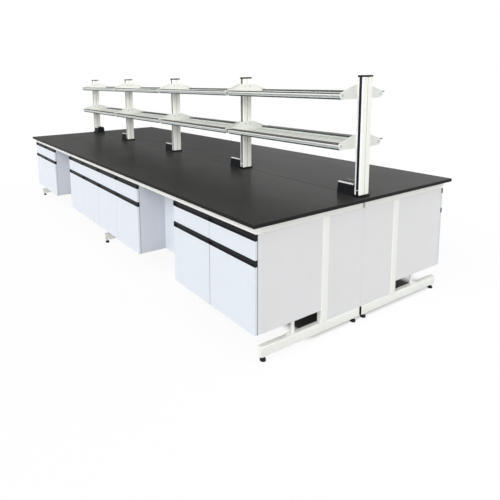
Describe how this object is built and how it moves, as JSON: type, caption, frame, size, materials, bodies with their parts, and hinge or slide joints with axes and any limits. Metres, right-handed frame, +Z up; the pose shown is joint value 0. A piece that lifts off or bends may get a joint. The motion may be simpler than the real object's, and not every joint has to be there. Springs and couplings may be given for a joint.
{
  "type": "lab bench with reagent shelf",
  "caption": "Double-sided white laboratory bench with black worktops, door-and-drawer cabinets, open knee spaces and a two-tier aluminium reagent rack",
  "frame": {"origin": "on the floor under the middle of the bench, the bottom centre of the bounding box", "axes": "+X along the bench towards the end nearest in the picture, -Y towards the front row that the picture shows, +Z up"},
  "size_m": [4.8, 1.9, 1.625],
  "materials": {
    "black_resin": "smooth near-black resin worktop with a soft sheen",
    "white_steel": "cream-white powder coat on steel tube",
    "grey_board": "light grey laminated board",
    "white_board": "bluish-white laminated board with black pull profiles",
    "pale_aluminium": "pale coated aluminium extrusion with black caps and dark slot strips",
    "shelf_aluminium": "pale coated aluminium plates and rails with a light ribbed board",
    "black_plastic": "black moulded plastic"
  },
  "bodies": {
    "bench": {"worktop_front": "black_resin", "worktop_back": "black_resin", "frame_front_left": "white_steel", "frame_front_middle": "white_steel", "frame_front_right": "white_steel", "frame_back_left": "white_steel", "frame_back_middle": "white_steel", "frame_back_right": "white_steel", "apron_beam_front": "white_steel", "apron_beam_back": "white_steel", "cabinet_front_left": "grey_board", "cabinet_front_middle": "grey_board", "cabinet_front_right": "grey_board", "cabinet_back_left": "grey_board", "cabinet_back_right": "grey_board", "knee_panel_front_left": "white_board", "knee_panel_front_right": "white_board", "knee_panel_back": "white_board", "rack_post_1": "pale_aluminium", "rack_post_2": "pale_aluminium", "rack_post_3": "pale_aluminium", "rack_post_4": "pale_aluminium", "rack_post_5": "pale_aluminium", "socket_box_1": "black_plastic", "socket_box_2": "black_plastic", "socket_box_3": "black_plastic", "socket_box_4": "black_plastic", "socket_box_5": "black_plastic", "shelf_lower_1": "shelf_aluminium", "shelf_lower_2": "shelf_aluminium", "shelf_lower_3": "shelf_aluminium", "shelf_lower_4": "shelf_aluminium", "shelf_upper_1": "shelf_aluminium", "shelf_upper_2": "shelf_aluminium", "shelf_upper_3": "shelf_aluminium", "shelf_upper_4": "shelf_aluminium"},
    "drawer_front_1": {"drawer_front_1": "white_board"},
    "drawer_front_2": {"drawer_front_2": "white_board"},
    "drawer_front_3": {"drawer_front_3": "white_board"},
    "drawer_front_4": {"drawer_front_4": "white_board"},
    "drawer_front_5": {"drawer_front_5": "white_board"},
    "drawer_front_6": {"drawer_front_6": "white_board"},
    "drawer_front_7": {"drawer_front_7": "white_board"},
    "drawer_front_8": {"drawer_front_8": "white_board"},
    "drawer_back_1": {"drawer_back_1": "white_board"},
    "drawer_back_2": {"drawer_back_2": "white_board"},
    "drawer_back_7": {"drawer_back_7": "white_board"},
    "drawer_back_8": {"drawer_back_8": "white_board"},
    "door_front_1": {"door_front_1": "white_board"},
    "door_front_2": {"door_front_2": "white_board"},
    "door_front_3": {"door_front_3": "white_board"},
    "door_front_4": {"door_front_4": "white_board"},
    "door_front_5": {"door_front_5": "white_board"},
    "door_front_6": {"door_front_6": "white_board"},
    "door_front_7": {"door_front_7": "white_board"},
    "door_front_8": {"door_front_8": "white_board"},
    "door_back_1": {"door_back_1": "white_board"},
    "door_back_2": {"door_back_2": "white_board"},
    "door_back_7": {"door_back_7": "white_board"},
    "door_back_8": {"door_back_8": "white_board"}
  },
  "joints": [
    {"name": "drawer_front_1_slide", "type": "slide", "parent": "bench", "child": "drawer_front_1", "axis": [0, -1, 0], "range_m": [0, 0.33]},
    {"name": "door_front_1_hinge", "type": "hinge", "parent": "bench", "child": "door_front_1", "pos_m": [-2.361, -0.912, 0.401], "axis": [0, 0, -1], "range_deg": [0, 90]},
    {"name": "drawer_front_2_slide", "type": "slide", "parent": "bench", "child": "drawer_front_2", "axis": [0, -1, 0], "range_m": [0, 0.33]},
    {"name": "door_front_2_hinge", "type": "hinge", "parent": "bench", "child": "door_front_2", "pos_m": [-1.479, -0.912, 0.401], "axis": [0, 0, 1], "range_deg": [0, 90]},
    {"name": "drawer_front_3_slide", "type": "slide", "parent": "bench", "child": "drawer_front_3", "axis": [0, -1, 0], "range_m": [0, 0.33]},
    {"name": "door_front_3_hinge", "type": "hinge", "parent": "bench", "child": "door_front_3", "pos_m": [-0.884, -0.912, 0.401], "axis": [0, 0, -1], "range_deg": [0, 90]},
    {"name": "drawer_front_4_slide", "type": "slide", "parent": "bench", "child": "drawer_front_4", "axis": [0, -1, 0], "range_m": [0, 0.33]},
    {"name": "door_front_4_hinge", "type": "hinge", "parent": "bench", "child": "door_front_4", "pos_m": [-0.002, -0.912, 0.401], "axis": [0, 0, 1], "range_deg": [0, 90]},
    {"name": "drawer_front_5_slide", "type": "slide", "parent": "bench", "child": "drawer_front_5", "axis": [0, -1, 0], "range_m": [0, 0.33]},
    {"name": "door_front_5_hinge", "type": "hinge", "parent": "bench", "child": "door_front_5", "pos_m": [0.002, -0.912, 0.401], "axis": [0, 0, -1], "range_deg": [0, 90]},
    {"name": "drawer_front_6_slide", "type": "slide", "parent": "bench", "child": "drawer_front_6", "axis": [0, -1, 0], "range_m": [0, 0.33]},
    {"name": "door_front_6_hinge", "type": "hinge", "parent": "bench", "child": "door_front_6", "pos_m": [0.884, -0.912, 0.401], "axis": [0, 0, 1], "range_deg": [0, 90]},
    {"name": "drawer_front_7_slide", "type": "slide", "parent": "bench", "child": "drawer_front_7", "axis": [0, -1, 0], "range_m": [0, 0.33]},
    {"name": "door_front_7_hinge", "type": "hinge", "parent": "bench", "child": "door_front_7", "pos_m": [1.479, -0.912, 0.401], "axis": [0, 0, -1], "range_deg": [0, 90]},
    {"name": "drawer_front_8_slide", "type": "slide", "parent": "bench", "child": "drawer_front_8", "axis": [0, -1, 0], "range_m": [0, 0.33]},
    {"name": "door_front_8_hinge", "type": "hinge", "parent": "bench", "child": "door_front_8", "pos_m": [2.361, -0.912, 0.401], "axis": [0, 0, 1], "range_deg": [0, 90]},
    {"name": "drawer_back_1_slide", "type": "slide", "parent": "bench", "child": "drawer_back_1", "axis": [0, 1, 0], "range_m": [0, 0.33]},
    {"name": "door_back_1_hinge", "type": "hinge", "parent": "bench", "child": "door_back_1", "pos_m": [-2.361, 0.912, 0.401], "axis": [0, 0, 1], "range_deg": [0, 90]},
    {"name": "drawer_back_2_slide", "type": "slide", "parent": "bench", "child": "drawer_back_2", "axis": [0, 1, 0], "range_m": [0, 0.33]},
    {"name": "door_back_2_hinge", "type": "hinge", "parent": "bench", "child": "door_back_2", "pos_m": [-1.479, 0.912, 0.401], "axis": [0, 0, -1], "range_deg": [0, 90]},
    {"name": "drawer_back_7_slide", "type": "slide", "parent": "bench", "child": "drawer_back_7", "axis": [0, 1, 0], "range_m": [0, 0.33]},
    {"name": "door_back_7_hinge", "type": "hinge", "parent": "bench", "child": "door_back_7", "pos_m": [1.479, 0.912, 0.401], "axis": [0, 0, 1], "range_deg": [0, 90]},
    {"name": "drawer_back_8_slide", "type": "slide", "parent": "bench", "child": "drawer_back_8", "axis": [0, 1, 0], "range_m": [0, 0.33]},
    {"name": "door_back_8_hinge", "type": "hinge", "parent": "bench", "child": "door_back_8", "pos_m": [2.361, 0.912, 0.401], "axis": [0, 0, -1], "range_deg": [0, 90]}
  ]
}
